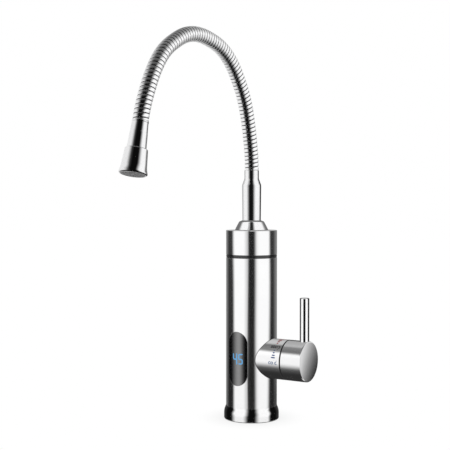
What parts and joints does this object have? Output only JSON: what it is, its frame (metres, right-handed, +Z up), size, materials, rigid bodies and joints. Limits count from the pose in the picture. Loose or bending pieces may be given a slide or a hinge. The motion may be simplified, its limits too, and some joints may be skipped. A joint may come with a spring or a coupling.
{
  "type": "electric instant water heater tap",
  "caption": "Worktop tap with a round steel body that heats water as it flows, a side knob with a pin lever, a front display window and a swivelling bendable hose spout.",
  "frame": {"origin": "centre of the foot on the worktop, on the underside of the deck gasket", "axes": "+Z up along the body, +X along the knob's axis away from the body, -Y towards the sink, where the spout and the display look"},
  "size_m": [0.0935, 0.2333, 0.437],
  "materials": {
    "brushed_steel_shell": "brushed, satin",
    "polished_steel": "polished",
    "chrome": "mirror polished",
    "hose_steel": "bright, spirally ribbed",
    "black_plastic": "satin moulded",
    "black_window": "polished",
    "display_dark": "moulded",
    "board_green": "lacquered board",
    "white_plastic": "moulded",
    "grey_plastic": "moulded",
    "brass": "machined",
    "stainless": "drawn and turned",
    "rubber": "moulded",
    "silicone": "translucent tube",
    "ceramic": "lapped ceramic",
    "lead_red": "cable insulation"
  },
  "bodies": {
    "root": {"deck_gasket": "rubber", "base_flange": "polished_steel", "base_plate": "white_plastic", "shell_screws": "stainless", "inlet_shank": "brass", "fixing_nut": "brass", "fixing_washer": "stainless", "rubber_washer": "rubber", "inlet_filter": "stainless", "cable_gland": "black_plastic", "body_shell": "brushed_steel_shell", "display_window": "black_window", "led_display": "display_dark", "control_board": "board_green", "power_triac": "black_plastic", "valve_body": "brass", "cartridge_body": "white_plastic", "cartridge_nut": "brass", "fixed_disc": "ceramic", "lever_housing": "brushed_steel_shell", "lever_seam_ring": "black_plastic", "flow_housing": "white_plastic", "flow_spring": "stainless", "reed_switch": "black_plastic", "heater_tank": "stainless", "tank_cover": "stainless", "tank_seal": "rubber", "heating_element": "stainless", "inner_leads": "lead_red", "thermal_cutout": "black_plastic", "temperature_sensor": "stainless", "seam_ring": "black_plastic", "top_cap": "brushed_steel_shell", "cone_nut": "chrome", "outlet_spigot": "brass", "spigot_seals": "rubber", "slip_ring": "white_plastic"},
    "handle": {"spindle": "stainless", "moving_disc": "ceramic", "handle_knob": "brushed_steel_shell", "handle_pin": "chrome", "grub_screw": "stainless"},
    "piston": {"flow_piston": "white_plastic", "piston_magnet": "stainless"},
    "spout": {"spout_collar": "chrome", "hose_casing_0": "hose_steel", "hose_liner_0": "silicone"},
    "neck_1": {"hose_casing_1": "hose_steel", "hose_liner_1": "silicone"},
    "neck_2": {"hose_casing_2": "hose_steel", "hose_liner_2": "silicone"},
    "neck_3": {"hose_casing_3": "hose_steel", "hose_liner_3": "silicone"},
    "neck_4": {"hose_casing_4": "hose_steel", "hose_liner_4": "silicone"},
    "neck_5": {"hose_casing_5": "hose_steel", "hose_liner_5": "silicone", "nozzle_ferrule": "chrome", "nozzle_bell": "chrome", "aerator_insert": "grey_plastic"}
  },
  "joints": [
    {"name": "handle_turn", "type": "hinge", "parent": "root", "child": "handle", "pos_m": [0, 0, 0.0617], "axis": [1, 0, 0], "range_deg": [-50, 50]},
    {"name": "flow_piston_slide", "type": "slide", "parent": "root", "child": "piston", "axis": [0, 0, 1], "range_m": [0, 0.004], "stiffness_N_per_m": 50, "springref_m": -0.003, "deforming": ["flow_spring"]},
    {"name": "spout_swivel", "type": "hinge", "parent": "root", "child": "spout", "pos_m": [0, 0, 0.1979], "axis": [0, 0, 1], "continuous": true},
    {"name": "neck_bend_1", "type": "hinge", "parent": "spout", "child": "neck_1", "pos_m": [0, -0.00345, 0.27846], "axis": [1, 0, 0], "range_deg": [-10, 6]},
    {"name": "neck_bend_2", "type": "hinge", "parent": "neck_1", "child": "neck_2", "pos_m": [0, -0.02538, 0.33472], "axis": [1, 0, 0], "range_deg": [-10, 6]},
    {"name": "neck_bend_3", "type": "hinge", "parent": "neck_2", "child": "neck_3", "pos_m": [0, -0.07466, 0.36738], "axis": [1, 0, 0], "range_deg": [-10, 6]},
    {"name": "neck_bend_4", "type": "hinge", "parent": "neck_3", "child": "neck_4", "pos_m": [0, -0.13346, 0.35893], "axis": [1, 0, 0], "range_deg": [-10, 6]},
    {"name": "neck_bend_5", "type": "hinge", "parent": "neck_4", "child": "neck_5", "pos_m": [0, -0.17292, 0.31415], "axis": [1, 0, 0], "range_deg": [-10, 6]}
  ],
  "couplings": [
    {"joint": "neck_bend_2", "follows": "neck_bend_1", "ratio": 1},
    {"joint": "neck_bend_3", "follows": "neck_bend_1", "ratio": 1},
    {"joint": "neck_bend_4", "follows": "neck_bend_1", "ratio": 1},
    {"joint": "neck_bend_5", "follows": "neck_bend_1", "ratio": 1}
  ]
}
